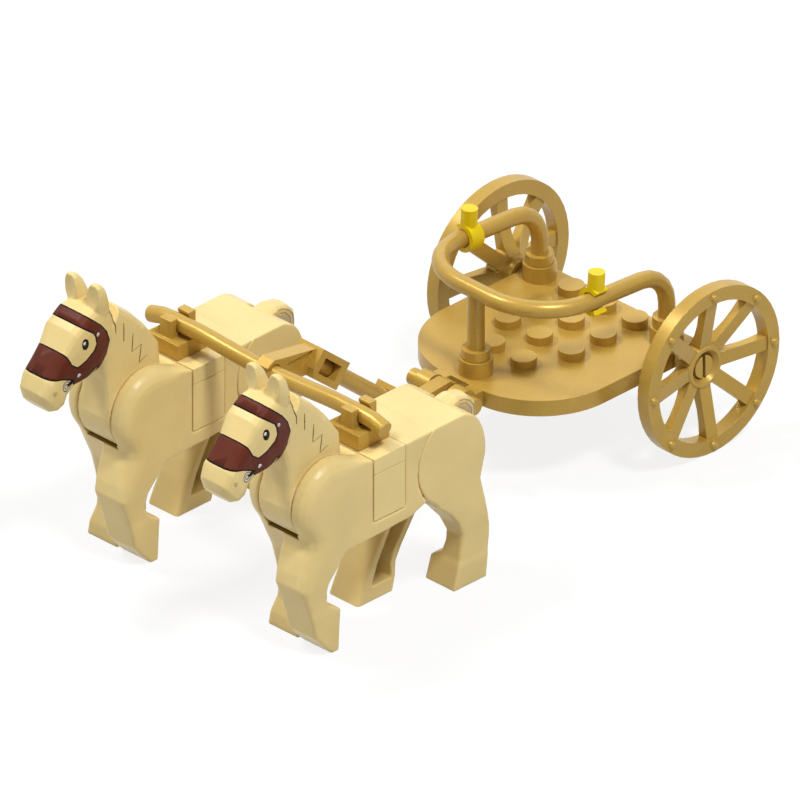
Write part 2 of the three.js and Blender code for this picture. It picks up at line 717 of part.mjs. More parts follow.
// Legs from top to bottom: height, rear and front as shares of the back's height,
// then inner side, outer side and the outer front corner's radius as shares of half the body's width
const leftForelegShares = [
  [0.86, 0.2, 0.603, -0.02, 1, 0.38],
  [0.78, 0.2, 0.592, -0.02, 1, 0.38],
  [0.72, 0.2, 0.562, -0.02, 1, 0.4],
  [0.67, 0.22, 0.538, -0.02, 1, 0.4],
  [0.62, 0.26, 0.538, -0.02, 1, 0.4],
  [0.579, 0.288, 0.556, -0.02, 1, 0.38],
  [0.48, 0.359, 0.585, -0.02, 1, 0.3],
  [0.407, 0.427, 0.596, -0.02, 1, 0.22],
  [0.333, 0.444, 0.573, 0.02, 0.98, 0.1],
  [0.277, 0.415, 0.556, 0.04, 0.98, 0.1],
  [0.232, 0.342, 0.542, 0.04, 1, 0.08],
  [0.119, 0.35, 0.517, 0.04, 1, 0.08],
  [0.034, 0.353, 0.445, 0.04, 1, 0.06],
  [0, 0.356, 0.41, 0.04, 1, 0.06],
];
const rightForelegShares = [
  [0.86, 0.16, 0.603, -0.02, 1, 0.38],
  [0.78, 0.16, 0.592, -0.02, 1, 0.38],
  [0.72, 0.16, 0.562, -0.02, 1, 0.4],
  [0.67, 0.17, 0.532, -0.02, 1, 0.4],
  [0.62, 0.18, 0.508, -0.02, 1, 0.38],
  [0.582, 0.189, 0.49, -0.02, 1, 0.36],
  [0.475, 0.195, 0.43, -0.02, 1, 0.25],
  [0.347, 0.212, 0.384, 0.02, 0.98, 0.12],
  [0.24, 0.212, 0.364, 0.04, 0.97, 0.1],
  [0.144, 0.206, 0.37, 0.04, 0.98, 0.08],
  [0.073, 0.218, 0.412, 0.04, 1, 0.06],
  [0, 0.234, 0.427, 0.04, 1, 0.06],
];
const leftHindlegShares = [
  [0.734, -0.66, -0.31, 0.04, 0.98, 0.1],
  [0.605, -0.652, -0.3, 0.04, 0.98, 0.1],
  [0.523, -0.672, -0.35, 0.04, 0.98, 0.1],
  [0.446, -0.692, -0.441, 0.1, 0.98, 0.1],
  [0.367, -0.709, -0.5, 0.28, 0.98, 0.1],
  [0.291, -0.72, -0.525, 0.41, 0.98, 0.1],
  [0.232, -0.718, -0.52, 0.41, 0.98, 0.1],
  [0.158, -0.709, -0.508, 0.33, 0.98, 0.08],
  [0.124, -0.706, -0.494, 0.05, 1, 0.06],
  [0, -0.692, -0.458, 0.04, 1, 0.06],
];
const rightHindlegShares = [
  [0.678, -0.588, -0.32, 0.04, 0.98, 0.1],
  [0.537, -0.531, -0.28, 0.04, 0.98, 0.1],
  [0.407, -0.432, -0.234, 0.04, 0.98, 0.1],
  [0.362, -0.404, -0.198, 0.04, 0.98, 0.1],
  [0.237, -0.319, -0.116, 0.04, 0.96, 0.1],
  [0.167, -0.282, -0.076, 0.04, 0.96, 0.08],
  [0.082, -0.277, -0.04, 0.04, 0.98, 0.06],
  [0, -0.257, -0.006, 0.04, 1, 0.06],
];

// Neck and head from the shoulder to the muzzle: crest forward and up, throat forward and up, half width.
// The last number sets how square the ring is.
const neckShares = [
  [0.215, 1.028, 0.598, 0.876, 0.109, 9],
  [0.225, 1.164, 0.592, 0.975, 0.109, 8],
  [0.31, 1.29, 0.6, 1.068, 0.108, 6],
  [0.405, 1.395, 0.621, 1.158, 0.107, 5],
  [0.5, 1.475, 0.658, 1.243, 0.107, 4],
];
const headShares = [
  [0.573, 1.508, 0.528, 1.328, 0.096, 3.5],
  [0.647, 1.545, 0.575, 1.25, 0.116, 4.5],
  [0.743, 1.52, 0.65, 1.175, 0.124, 5],
  [0.836, 1.455, 0.743, 1.15, 0.124, 5],
  [0.901, 1.362, 0.822, 1.135, 0.11, 4],
  [0.955, 1.3, 0.875, 1.095, 0.11, 3.8],
  [1.012, 1.238, 0.897, 1.055, 0.118, 3.6],
  [1.044, 1.165, 0.935, 1.036, 0.11, 3.2],
  [1.036, 1.105, 0.98, 1.042, 0.084, 2.8],
];

// One ear from its root to its tip: left, forward, up, half width, half depth
const earShares = [
  [0.066, 0.63, 1.48, 0.052, 0.056],
  [0.072, 0.645, 1.56, 0.058, 0.06],
  [0.08, 0.658, 1.618, 0.05, 0.05],
  [0.084, 0.668, 1.652, 0.036, 0.034],
  [0.084, 0.672, 1.667, 0.018, 0.018],
];
const earScoopShares = [0.086, 0.722, 1.6, 0.08, 0.043, 0.12];

// Tail from the slot in the rump to the tip: forward, up, half depth, then its share of the sweep and width
const tailShares = [
  [-0.585, 0.945, 0.028, 0, 1],
  [-0.645, 0.955, 0.033, 0, 1],
  [-0.72, 0.93, 0.038, 0.06, 1],
  [-0.778, 0.872, 0.042, 0.22, 1],
  [-0.824, 0.785, 0.042, 0.5, 0.95],
  [-0.85, 0.69, 0.036, 0.76, 0.8],
  [-0.858, 0.595, 0.018, 1, 0.5],
];

const scaled = (shares) => shares.map((row) => row.map((share) => share * BACK_HEIGHT));

// One leg: level rings stacked down to a flat sole, each a rectangle with rounded corners.
// The outer front corner is the softest.
function leg(shares, side) {
  const rings = shares.map(([height, rear, front, inner, outer, soft]) => {
    const [low, high] = [side * inner * horseHalf, side * outer * horseHalf].sort((a, b) => a - b);
    const softest = soft * horseHalf;
    const radii = side > 0
      ? [softest, LEG_EDGE, LEG_EDGE, LEG_EDGE]
      : [LEG_EDGE, softest, LEG_EDGE, LEG_EDGE];
    const [rearAt, frontAt, up] = [rear, front, height].map((share) => share * BACK_HEIGHT);
    return roundedRectangle(low, high, rearAt, frontAt, up, radii);
  });
  return loft(rings);
}

// A level rectangle with four rounded corners, from its front left corner round by the front
function roundedRectangle(low, high, rear, front, up, radii) {
  const corners = [[high, front], [low, front], [low, rear], [high, rear]];
  return corners.flatMap(([left, forward], i) => {
    const radius = radii[i];
    const middleLeft = left + (left === high ? -radius : radius);
    const middleForward = forward + (forward === front ? -radius : radius);
    return Array.from({ length: CORNER_STEPS }, (_, j) => {
      const angle = (i + j / (CORNER_STEPS - 1)) * (Math.PI / 2);
      return at(middleLeft + radius * Math.cos(angle), middleForward + radius * Math.sin(angle), up);
    });
  });
}

// A tongue or cheek pin across the horse, about a pivot in side view
const crossPin = (pivot, halfLength, radius) => bar(
  at(-halfLength, pivot.x, pivot.y),
  at(halfLength, pivot.x, pivot.y),
  radius,
  ROUND_STEPS,
);

// The shoulders: a skin from the square saddle wall to a round disc with soft edges about the neck's pivot
function shoulders() {
  const points = [];
  for (const side of [-1, 1]) {
    for (let i = 0; i <= SHOULDER_RINGS; i++) {
      const angle = (i / SHOULDER_RINGS) * (Math.PI / 2);
      const radius = shoulderRadius - SHOULDER_ROUND * (1 - Math.sin(angle));
      const left = side * (horseHalf - SHOULDER_ROUND * (1 - Math.cos(angle)));
      for (let j = 0; j < 2 * SMALL_STEPS; j++) {
        const turn = (j / SMALL_STEPS) * Math.PI;
        const [forward, up] = [radius * Math.cos(turn), radius * Math.sin(turn)];
        points.push(at(left, neckPivot.x + forward, neckPivot.y + up));
      }
    }
    points.push(at(side * horseHalf, pocketHalf, BACK_HEIGHT));
    points.push(at(side * horseHalf, pocketHalf, pocketFloor));
  }
  return solid(new ConvexGeometry(points));
}

function torso() {
  const belly = scaled(torsoBellyShares);
  const barrel = polygon([
    [hip.x, BACK_HEIGHT],
    [pocketHalf + POCKET_WALL, BACK_HEIGHT],
    pair(neckPivot),
    ...belly,
    [hip.x, hip.y - hipRadius / 2],
  ]);
  const seam = crossPin(hip, horseHalf + OVERRUN, hipRadius + HIP_GAP);
  const pocketHeight = POCKET_PLATES * PLATE + OVERRUN;
  const pocket = boxOf(pocketFloor, 2 * PITCH + OVERRUN, 2 * pocketHalf, pocketHeight);
  const slotWidth = NECK_WIDTH + 2 * JOINT_GAP;
  const reach = 2 * shoulderRadius;
  const slotTop = polygon([
    [neckPivot.x - slotRadius, BACK_HEIGHT],
    [neckPivot.x - slotRadius / 2, BACK_HEIGHT],
    [neckPivot.x, neckPivot.y],
    [neckPivot.x + reach, neckPivot.y - slotRadius / 2],
    [neckPivot.x + reach, neckPivot.y + reach],
    [neckPivot.x - slotRadius, neckPivot.y + reach],
  ]);
  const slot = joined(crossPin(neckPivot, slotWidth / 2, slotRadius), slab(slotTop, slotWidth));
  const sockets = crossPin(
    neckPivot,
    NECK_WIDTH / 2 + TRUNNION_LENGTH + JOINT_GAP,
    TRUNNION_RADIUS + RUN_GAP,
  );
  const body = joined(
    slab(barrel, 2 * horseHalf).subtract(seam),
    shoulders(),
    leg(leftForelegShares, 1),
    leg(rightForelegShares, -1),
  ).subtract(joined(pocket, slot, sockets));
  const studs = [-1, 1].map((side) => stud((side * PITCH) / 2, 0, pocketFloor));
  return joined(body, tongue(), ...studs);
}

// The torso's hip tongue with its two trunnions
function tongue() {
  const root = hip.x + hipRadius + HIP_GAP + OVERRUN;
  const web = polygon([
    [hip.x, hip.y - TONGUE_HEIGHT / 2],
    [root, hip.y - TONGUE_HEIGHT / 2],
    [root, hip.y + TONGUE_HEIGHT / 2],
    [hip.x, hip.y + TONGUE_HEIGHT / 2],
  ]);
  return joined(
    slab(web, TONGUE_WIDTH),
    crossPin(hip, TONGUE_WIDTH / 2, TONGUE_RADIUS),
    crossPin(hip, TONGUE_WIDTH / 2 + TRUNNION_LENGTH, TRUNNION_RADIUS),
  );
}

function hindquarters() {
  const rump = scaled(rumpShares);
  const topAngle = Math.asin((BACK_HEIGHT - hip.y) / hipRadius);
  const shape = new THREE.Shape();
  shape.moveTo(...rump[0]);
  shape.splineThru(rump.slice(1).map(([x, y]) => new THREE.Vector2(x, y)));
  shape.absarc(hip.x, hip.y, hipRadius, HIP_ARC_START, topAngle, false);
  const room = TONGUE_HEIGHT / 2 + JOINT_GAP;
  const slotWidth = TONGUE_WIDTH + 2 * JOINT_GAP;
  const far = hipRadius + OVERRUN;
  const along = (angle, offset) => [
    hip.x + far * Math.cos(angle) - offset * Math.sin(angle),
    hip.y + far * Math.sin(angle) + offset * Math.cos(angle),
  ];
  const sweep = polygon([
    [hip.x, hip.y - room],
    along(0, -room),
    along(REARING_ANGLE / 2, 0),
    along(REARING_ANGLE, room),
    [hip.x - room * Math.sin(REARING_ANGLE), hip.y + room * Math.cos(REARING_ANGLE)],
  ]);
  const slot = joined(
    slab(sweep, slotWidth),
    crossPin(hip, slotWidth / 2, TONGUE_RADIUS + JOINT_GAP),
    crossPin(hip, TONGUE_WIDTH / 2 + TRUNNION_LENGTH + JOINT_GAP, TRUNNION_RADIUS + RUN_GAP),
  );
  const [tailTop] = scaled(tailShares.slice(1, 2));
  const tailSlot = block(
    0,
    tailTop[0] - PITCH / 2 + TAIL_SLOT_DEPTH / 2,
    BACK_HEIGHT - TAIL_SLOT_DEPTH / 2 + OVERRUN / 2,
    TAIL_WIDTH + 2 * JOINT_GAP,
    PITCH + TAIL_SLOT_DEPTH,
    TAIL_SLOT_DEPTH + OVERRUN,
  );
  const recessWidth = horseHalf * legRecessDepthShare;
  const recess = slab(polygon(scaled(legRecessShares)), recessWidth, -recessWidth / 2);
  return joined(
    slab(shape, 2 * horseHalf - JOINT_GAP),
    leg(leftHindlegShares, 1),
    leg(rightHindlegShares, -1),
  ).subtract(joined(slot, tailSlot, recess));
}

// Neck and head in one: a disc between the shoulders, then rounded rings up to the muzzle
function neckAndHead() {
  const crossRings = (rows) => rows.map((row) => {
    const [topF, topUp, lowF, lowUp, half] = row.map((share) => share * BACK_HEIGHT);
    return ring(
      at(0, (topF + lowF) / 2, (topUp + lowUp) / 2),
      at(half, 0, 0),
      at(0, (topF - lowF) / 2, (topUp - lowUp) / 2),
      row.at(-1),
    );
  });
  const neck = crossRings(neckShares);
  const root = ring(
    at(0, neckPivot.x, neckPivot.y),
    at(neckShares[0][4] * BACK_HEIGHT, 0, 0),
    at(0, -NECK_ROOT_SHARE * neckRadius, 0),
    neckShares[0][5],
  );
  const body = joined(
    crossPin(neckPivot, NECK_WIDTH / 2, neckRadius),
    crossPin(neckPivot, NECK_WIDTH / 2 + TRUNNION_LENGTH, TRUNNION_RADIUS),
    loft([root, ...neck]),
    loft(crossRings(headShares)),
  );
  return [-1, 1].reduce((whole, side) => whole.add(ear(side)), body);
}

function ear(side) {
  const rings = scaled(earShares).map(([left, forward, up, halfWidth, halfDepth]) => ring(
    at(side * left, forward, up),
    at(0, halfDepth, 0),
    at(halfWidth, 0, 0),
    2,
    ARC_STEPS,
  ));
  const [left, forward, up, a, b, c] = earScoopShares.map((share) => share * BACK_HEIGHT);
  const hollow = new THREE.SphereGeometry(1, SMALL_STEPS, ARC_STEPS);
  hollow.scale(a, b, c);
  hollow.translate(side * left, -forward, up);
  return loft(rings).subtract(solid(hollow));
}

function tail() {
  const rings = tailShares.map(([forward, up, halfDepth, sweepShare, widthShare], i) => {
    const next = tailShares[Math.min(i + 1, tailShares.length - 1)];
    const last = tailShares[Math.max(i - 1, 0)];
    const along = new THREE.Vector2(next[0] - last[0], next[1] - last[1]).normalize();
    return ring(
      at(-TAIL_SWEEP * sweepShare, forward * BACK_HEIGHT, up * BACK_HEIGHT),
      at((TAIL_WIDTH / 2) * widthShare, 0, 0),
      at(0, -along.y * halfDepth * BACK_HEIGHT, along.x * halfDepth * BACK_HEIGHT),
      TAIL_SQUARENESS,
      ARC_STEPS,
    );
  });
  return loft(rings);
}

// Saddle filler: a brick with two studs, under a plate with one stud
function hollowBox(base, across, along, height, roof) {
  const inner = height - roof + OVERRUN;
  const hollow = boxOf(base - OVERRUN, across - 2 * BRICK_WALL, along - 2 * BRICK_WALL, inner);
  return boxOf(base, across, along, height).subtract(hollow);
}

function fillerBrick() {
  const base = pocketFloor + SEAT_GAP;
  const height = FILLER_PLATES * PLATE - SEAT_GAP;
  const shell = hollowBox(base, 2 * horseHalf, PITCH - 2 * BRICK_PLAY, height, BRICK_WALL);
  const studs = [-1, 1].map((side) => stud((side * PITCH) / 2, 0, base + height));
  return joined(shell, ...studs);
}

function jumperPlate() {
  const base = BACK_HEIGHT - PLATE + SEAT_GAP;
  const roof = PLATE - STUD_HEIGHT - STUD_ROOM - SEAT_GAP;
  const shell = hollowBox(base, 2 * horseHalf, PITCH - 2 * BRICK_PLAY, PLATE - SEAT_GAP, roof);
  return joined(shell, stud(0, 0, BACK_HEIGHT));
}

// The square tile on the jumper's stud, with two prongs that grip the yoke
function yokeClip() {
  const base = BACK_HEIGHT + SEAT_GAP;
  const size = PITCH - 2 * BRICK_PLAY;
  const roof = PLATE - STUD_HEIGHT - STUD_ROOM - SEAT_GAP;
  const tile = hollowBox(base, size, size, PLATE - SEAT_GAP, roof);
  const prongBase = clipTileTop - roof / 2;
  const prongTop = yokeHeight + PRONG_OVER_BAR;
  const prongs = boxOf(prongBase, PRONG_WIDTH, PRONG_BLOCK, prongTop - prongBase);
  const axis = new THREE.Vector2(0, yokeHeight);
  const eye = crossPin(axis, PRONG_WIDTH, BAR_RADIUS + CLIP_GAP);
  const mouth = boxOf(yokeHeight, PRONG_WIDTH + OVERRUN, PRONG_MOUTH, PRONG_OVER_BAR + OVERRUN);
  return joined(tile, prongs.subtract(joined(eye, mouth)));
}

// Assembly
const team = new THREE.Group();

team.add(piece('platform', platform(), gold));
team.add(piece('rail', rail(), gold));

const wheelBody = wheel();
for (const [name, side] of [['left', 1], ['right', -1]]) {
  const spinning = piece(`wheel_${name}`, wheelBody, gold);
  spinning.position.copy(at(side * WHEEL_PLANE, axleForward, axleHeight));
  if (side < 0) spinning.rotation.z = Math.PI;
  team.add(spinning);
  const gripping = piece(`grip_${name}`, grip(), yellow);
  gripping.position.copy(at(side * railHalf, GRIP_PLACE, railZ(GRIP_PLACE)));
  gripping.rotation.set(-railSlope, 0, side < 0 ? Math.PI : 0);
  team.add(gripping);
}

team.add(piece('pole_rear_holder', holder(hinge, rearTube, -1), gold));
team.add(piece('pole_front_holder', holder(yokeMiddle, frontTube, 1), gold));
const rodFrom = onRod(rearTube, -ROD_INSERT, 0);
const rodTo = onRod(frontTube, ROD_INSERT, 0);
team.add(piece('pole_rod', bar(at(0, ...pair(rodFrom)), at(0, ...pair(rodTo)), BAR_RADIUS), gold));
team.add(piece('yoke_bar', yokeBar(), gold));

const horseBodies = [
  ['torso', torso(), tan],
  ['hindquarters', hindquarters(), tan],
  ['neck_and_head', neckAndHead(), tan],
  ['tail', tail(), tan],
  ['filler_brick', fillerBrick(), tan],
  ['jumper_plate', jumperPlate(), tan],
  ['yoke_clip', yokeClip(), gold],
];
for (const [name, side] of [['left', 1], ['right', -1]]) {
  const horse = new THREE.Group();
  for (const [part, body, material] of horseBodies) {
    horse.add(piece(`${name}_horse_${part}`, body, material));
  }
  horse.position.copy(at(side * TEAM_SPREAD, YOKE_PLACE, 0));
  team.add(horse);
}

// The whole stands on the ground with its middle over the origin
team.updateMatrixWorld(true);
const extent = new THREE.Box3().setFromObject(team);
const middle = extent.getCenter(new THREE.Vector3());
team.position.set(-middle.x, -middle.y, -extent.min.z);

export default team;
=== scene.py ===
import json
import math

import bmesh
import bpy
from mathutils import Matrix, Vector


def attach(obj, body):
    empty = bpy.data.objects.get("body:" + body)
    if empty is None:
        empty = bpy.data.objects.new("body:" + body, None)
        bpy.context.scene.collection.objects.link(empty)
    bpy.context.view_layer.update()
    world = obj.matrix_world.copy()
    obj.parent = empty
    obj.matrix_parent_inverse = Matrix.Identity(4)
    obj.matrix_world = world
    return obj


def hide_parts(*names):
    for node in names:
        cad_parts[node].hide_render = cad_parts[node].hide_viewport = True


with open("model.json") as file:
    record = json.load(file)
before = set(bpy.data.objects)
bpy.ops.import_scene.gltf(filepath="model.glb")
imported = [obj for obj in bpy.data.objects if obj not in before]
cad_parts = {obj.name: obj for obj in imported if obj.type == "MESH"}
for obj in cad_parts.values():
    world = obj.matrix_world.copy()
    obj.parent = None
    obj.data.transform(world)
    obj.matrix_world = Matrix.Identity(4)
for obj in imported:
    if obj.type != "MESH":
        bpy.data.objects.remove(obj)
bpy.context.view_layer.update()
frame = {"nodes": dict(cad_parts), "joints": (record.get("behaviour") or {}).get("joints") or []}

MM = 0.001

# Camera: where it looks, from the middle line, the chariot's rear edge and the ground
AZIMUTH = math.radians(45)
ELEVATION = math.radians(30)
TARGET_LEFT = -0.165 * MM
TARGET_FORWARD = 54.96 * MM
TARGET_HEIGHT = 20.0 * MM
VIEW_WIDTH = 142.35 * MM
CAMERA_DISTANCE = 600 * MM
NEAR_CLIP = 10 * MM
FAR_CLIP = 5000 * MM

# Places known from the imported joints
AXLE_FORWARD = 4 * MM
joint_places = {j["name"]: Vector(j["pos_m"]) for j in frame["joints"]}
rear_edge = joint_places["wheel_left_spin"].y + AXLE_FORWARD
yoke_axis = joint_places["left_horse_pitch"]
BACK_HEIGHT = 35.4 * MM

# Edges of the moulded pieces
EDGE_ROUNDING = 0.16 * MM
EDGE_ANGLE = math.radians(28)
EDGE_SEGMENTS = 2
MERGE_DISTANCE = 0.002 * MM
FLAT_ANGLE = math.radians(0.6)

# Skin of the horses
VOXEL = 0.26 * MM
HEAD_VOXEL = 0.19 * MM
TAIL_VOXEL = 0.13 * MM
SKIN_SMOOTHING = 3
SMOOTHING_SHARE = 0.5
SKIN_KEPT_SHARE = 0.2

# Slot below the neck, with a sheet of painted shade on its floor
CHEST_SLOT_SHARE = (0.525, 0.6815)
CHEST_SLOT_HALF = Vector((4.0, 2.4, 0.6)) * MM
SHADE_SHEET_INSET = 0.06 * MM
LIP_WIDTH = 0.25 * MM

# Wall inside the saddle pocket
POCKET_WALL_MARGIN = Vector((0.2, 0.4, 0.4)) * MM
POCKET_WALL_REACH = Vector((0.2, 0.4, -2.0)) * MM

# Printing on the heads
PRINT_DEPTH = 0.09 * MM
PRINT_LINE = 0.27 * MM
LINE_LIFT = 0.022 * MM
STRAP_LIFT = 0.045 * MM
BADGE_LIFT = 0.085 * MM
BIT_BORDER_LIFT = 0.033 * MM
PRINT_MARGIN = 1.5 * MM
CUT_TOLERANCE = 0.00001 * MM
MITRE_LIMIT = 0.5
OVAL_SIDES = 24
STROKE_END_SHARE = 0.6

# The bridle in side view: forehead band, cheek strap, throat strap and noseband in one outline
BRIDLE_SHARES = [
    (0.758, 1.56), (0.75, 1.513), (0.667, 1.438), (0.625, 1.385), (0.606, 1.33), (0.622, 1.27),
    (0.642, 1.19), (0.656, 1.168), (0.693, 1.176), (0.682, 1.226), (0.734, 1.193), (0.794, 1.158),
    (0.838, 1.168), (0.862, 1.205), (0.93, 1.235), (1.1, 1.268), (1.1, 1.46), (0.915, 1.365),
    (0.892, 1.335), (0.868, 1.285), (0.83, 1.256), (0.808, 1.262), (0.76, 1.285), (0.712, 1.316),
    (0.694, 1.35), (0.702, 1.395), (0.716, 1.422), (0.795, 1.482), (0.82, 1.54),
]
EYE_SHARE = (0.779, 1.379)
EYE_HALF_WIDTH = 0.8 * MM
EYE_HALF_HEIGHT = 1.12 * MM
EYE_TILT = 0.2
GLINT_SHARE = (0.787, 1.387)
GLINT_RADIUS = 0.3 * MM
STUD_SHARES = [(0.689, 1.4), (0.816, 1.212)]
STUD_RADIUS = 0.36 * MM
BIT_SHARE = (0.9, 1.178)
BIT_BORDER = 0.13 * MM
BIT_RADIUS = 0.86 * MM
BIT_BORE = 0.5 * MM
BIT_STRAP_SHARES = [(0.84, 1.193), (0.868, 1.188), (0.893, 1.18)]
BIT_STRAP_WIDTH = 0.75 * MM
NOSTRIL_SHARE = (0.985, 1.172)
NOSTRIL_HALF_WIDTH = 0.34 * MM
NOSTRIL_HALF_HEIGHT = 0.5 * MM
MANE_SHARES = [
    [(0.612, 1.534), (0.585, 1.487), (0.565, 1.441), (0.548, 1.382), (0.546, 1.34)],
    [(0.49, 1.377), (0.4895, 1.325), (0.49, 1.272)],
    [(0.425, 1.29), (0.429, 1.24), (0.433, 1.19)],
    [(0.367, 1.208), (0.374, 1.16), (0.383, 1.109)],
]
MANE_WIDTH = 0.26 * MM
MANE_TIE_SHARES = [
    [(0.433, 1.19), (0.4, 1.199), (0.367, 1.208)],
    [(0.383, 1.109), (0.354, 1.12), (0.325, 1.13)],
]
MANE_TIE_WIDTH = 0.17 * MM

# Strands of the tail, along its length in side view
TAIL_SHARES = [
    [(-0.655, 0.967), (-0.7, 0.955), (-0.745, 0.928), (-0.792, 0.872), (-0.838, 0.78)],
    [(-0.655, 0.946), (-0.708, 0.932), (-0.765, 0.872), (-0.811, 0.785), (-0.838, 0.7)],
]
TAIL_LINE_WIDTH = 0.2 * MM

# Colours, as sRGB shares
TAN = (0.896, 0.797, 0.537)
GOLD = (0.715, 0.578, 0.255)
YELLOW = (0.87, 0.75, 0.02)
BROWN = (0.36, 0.145, 0.08)
BLACK = (0.05, 0.03, 0.025)
WHITE = (0.95, 0.94, 0.92)
SILVER = (0.8, 0.78, 0.76)
# Painted shade for the mane's grooves and the saddle pocket's seams
GROOVE_AND_SEAM_SHADE = (0.47, 0.4, 0.24)
SHADE = (0.66, 0.56, 0.35)
# Painted shade for the slot below the neck
SLOT_SHADE = (0.55, 0.45, 0.27)
# Painted shade of the nostril's dimple
NOSTRIL_SHADE = (0.79, 0.69, 0.45)

# Grain of the plastics: repeats per metre, spans of a texture that count, and shares
PLASTIC_IOR = 1.46
DRIFT_SCALE = 110.0
DRIFT_SPAN = (0.3, 0.7)
FLAKE_SCALE = 5200.0
GLOSS_SCALE = 420.0
GLOSS_SWING = (-0.07, 0.09)
RIPPLE_SCALE = 1100.0
SCRATCH_TURN = (0.5, 0.35, 0.8)
SCRATCH_STRETCH = (2600.0, 120.0, 900.0)
SCRATCH_SPAN = (0.68, 0.78)
SCRATCH_SHARE = 0.35
# Paler convex edges, partly wear and partly painted highlight
EDGE_WEAR_AND_HIGHLIGHT_SPAN = (0.51, 0.6)
EDGE_WEAR_AND_HIGHLIGHT_GAIN = 1.1
EDGE_WEAR_AND_HIGHLIGHT_LIFT = 0.05
BUMP_REACH = 0.06 * MM

# Lamps: name, side they stand on, strength, spread in degrees
LAMPS = [
    ("key", (0.46, -0.05, 0.89), 2.1, 12),
    ("front", (-0.45, -0.3, 0.84), 1.6, 14),
    ("fill", (-0.7, 0.6, 0.55), 0.3, 50),
]
AMBIENT = 0.3
FLOOR_ALBEDO = 0.5
FLOOR_ROUGHNESS = 0.9
FLOOR_GLOW_SHARE = 0.7
FLOOR_GLOW = 1.2
FLOOR_REACH = 3.0


def linear(share):
    if share <= 0.04045:
        return share / 12.92
    return ((share + 0.055) / 1.055) ** 2.4


def colour(srgb, brightness=1.0):
    return tuple(min(1.0, linear(c) * brightness) for c in srgb) + (1.0,)


def texture(tree, kind, place, **inputs):
    made = tree.nodes.new(kind)
    for name, value in inputs.items():
        made.inputs[name].default_value = value
    tree.links.new(place, made.inputs["Vector"])
    return made


def remapped(tree, value, low, high, start=0.0, end=1.0):
    made = tree.nodes.new("ShaderNodeMapRange")
    made.inputs["From Min"].default_value = start
    made.inputs["From Max"].default_value = end
    made.inputs["To Min"].default_value = low
    made.inputs["To Max"].default_value = high
    tree.links.new(value, made.inputs["Value"])
    return made.outputs["Result"]


def scaled(tree, vector, factor):
    made = tree.nodes.new("ShaderNodeVectorMath")
    made.operation = "SCALE"
    tree.links.new(vector, made.inputs[0])
    tree.links.new(factor, made.inputs["Scale"])
    return made.outputs["Vector"]


# Moulded plastic: drifting colour, paler edges that are partly wear and partly painted highlight,
# uneven gloss, fine scratches
def plastic(
    name, srgb, roughness, metallic=0.0, mottle=0.05, flake=0.0, edge_wear_and_highlight=0.25, grain=0.05, sheen=0.35
):
    material = bpy.data.materials.new(name)
    material.use_nodes = True
    tree = material.node_tree
    shader = tree.nodes["Principled BSDF"]
    shader.inputs["Metallic"].default_value = metallic
    shader.inputs["IOR"].default_value = PLASTIC_IOR
    shader.inputs["Specular IOR Level"].default_value = sheen
    link = tree.links.new
    place = tree.nodes.new("ShaderNodeTexCoord").outputs["Object"]

    drift = texture(tree, "ShaderNodeTexNoise", place, Scale=DRIFT_SCALE, Detail=3.0)
    ramp = tree.nodes.new("ShaderNodeValToRGB")
    ramp.color_ramp.elements[0].position = DRIFT_SPAN[0]
    ramp.color_ramp.elements[1].position = DRIFT_SPAN[1]
    ramp.color_ramp.elements[0].color = colour(srgb, 1.0 - mottle)
    ramp.color_ramp.elements[1].color = colour(srgb, 1.0 + mottle)
    link(drift.outputs["Fac"], ramp.inputs["Fac"])
    shown = ramp.outputs["Color"]
    if flake > 0.0:
        flakes = texture(tree, "ShaderNodeTexVoronoi", place, Scale=FLAKE_SCALE)
        spread = remapped(tree, flakes.outputs["Color"], 1.0 - flake, 1.0 + flake)
        shown = scaled(tree, shown, spread)

    # Convex edges turn paler: partly wear, partly a painted highlight where edges would catch the
    # lamps
    if edge_wear_and_highlight > 0.0:
        edge = tree.nodes.new("ShaderNodeNewGeometry").outputs["Pointiness"]
        paler = tree.nodes.new("ShaderNodeMix")
        paler.data_type = "RGBA"
        link(remapped(tree, edge, 0.0, edge_wear_and_highlight, *EDGE_WEAR_AND_HIGHLIGHT_SPAN), paler.inputs["Factor"])
        link(shown, paler.inputs["A"])
        worn_and_lit = tuple(min(1.0, c * EDGE_WEAR_AND_HIGHLIGHT_GAIN + EDGE_WEAR_AND_HIGHLIGHT_LIFT) for c in srgb)
        paler.inputs["B"].default_value = colour(worn_and_lit)
        shown = paler.outputs["Result"]
    link(shown, shader.inputs["Base Color"])

    gloss = texture(tree, "ShaderNodeTexNoise", place, Scale=GLOSS_SCALE, Detail=4.0)
    smoother, rougher = (roughness + swing for swing in GLOSS_SWING)
    link(remapped(tree, gloss.outputs["Fac"], smoother, rougher), shader.inputs["Roughness"])

    # Faint waviness of the moulding, crossed by hairline scratches
    ripple = texture(tree, "ShaderNodeTexNoise", place, Scale=RIPPLE_SCALE, Detail=2.0)
    turned = tree.nodes.new("ShaderNodeMapping")
    turned.inputs["Rotation"].default_value = SCRATCH_TURN
    turned.inputs["Scale"].default_value = SCRATCH_STRETCH
    link(place, turned.inputs["Vector"])
    scratch = texture(tree, "ShaderNodeTexNoise", turned.outputs["Vector"], Scale=1.0, Detail=1.0)
    hair = remapped(tree, scratch.outputs["Fac"], 0.0, SCRATCH_SHARE, *SCRATCH_SPAN)
    height = tree.nodes.new("ShaderNodeMath")
    height.operation = "SUBTRACT"
    link(ripple.outputs["Fac"], height.inputs[0])
    link(hair, height.inputs[1])
    bump = tree.nodes.new("ShaderNodeBump")
    bump.inputs["Strength"].default_value = grain
    bump.inputs["Distance"].default_value = BUMP_REACH
    link(height.outputs["Value"], bump.inputs["Height"])
    link(bump.outputs["Normal"], shader.inputs["Normal"])
    return material


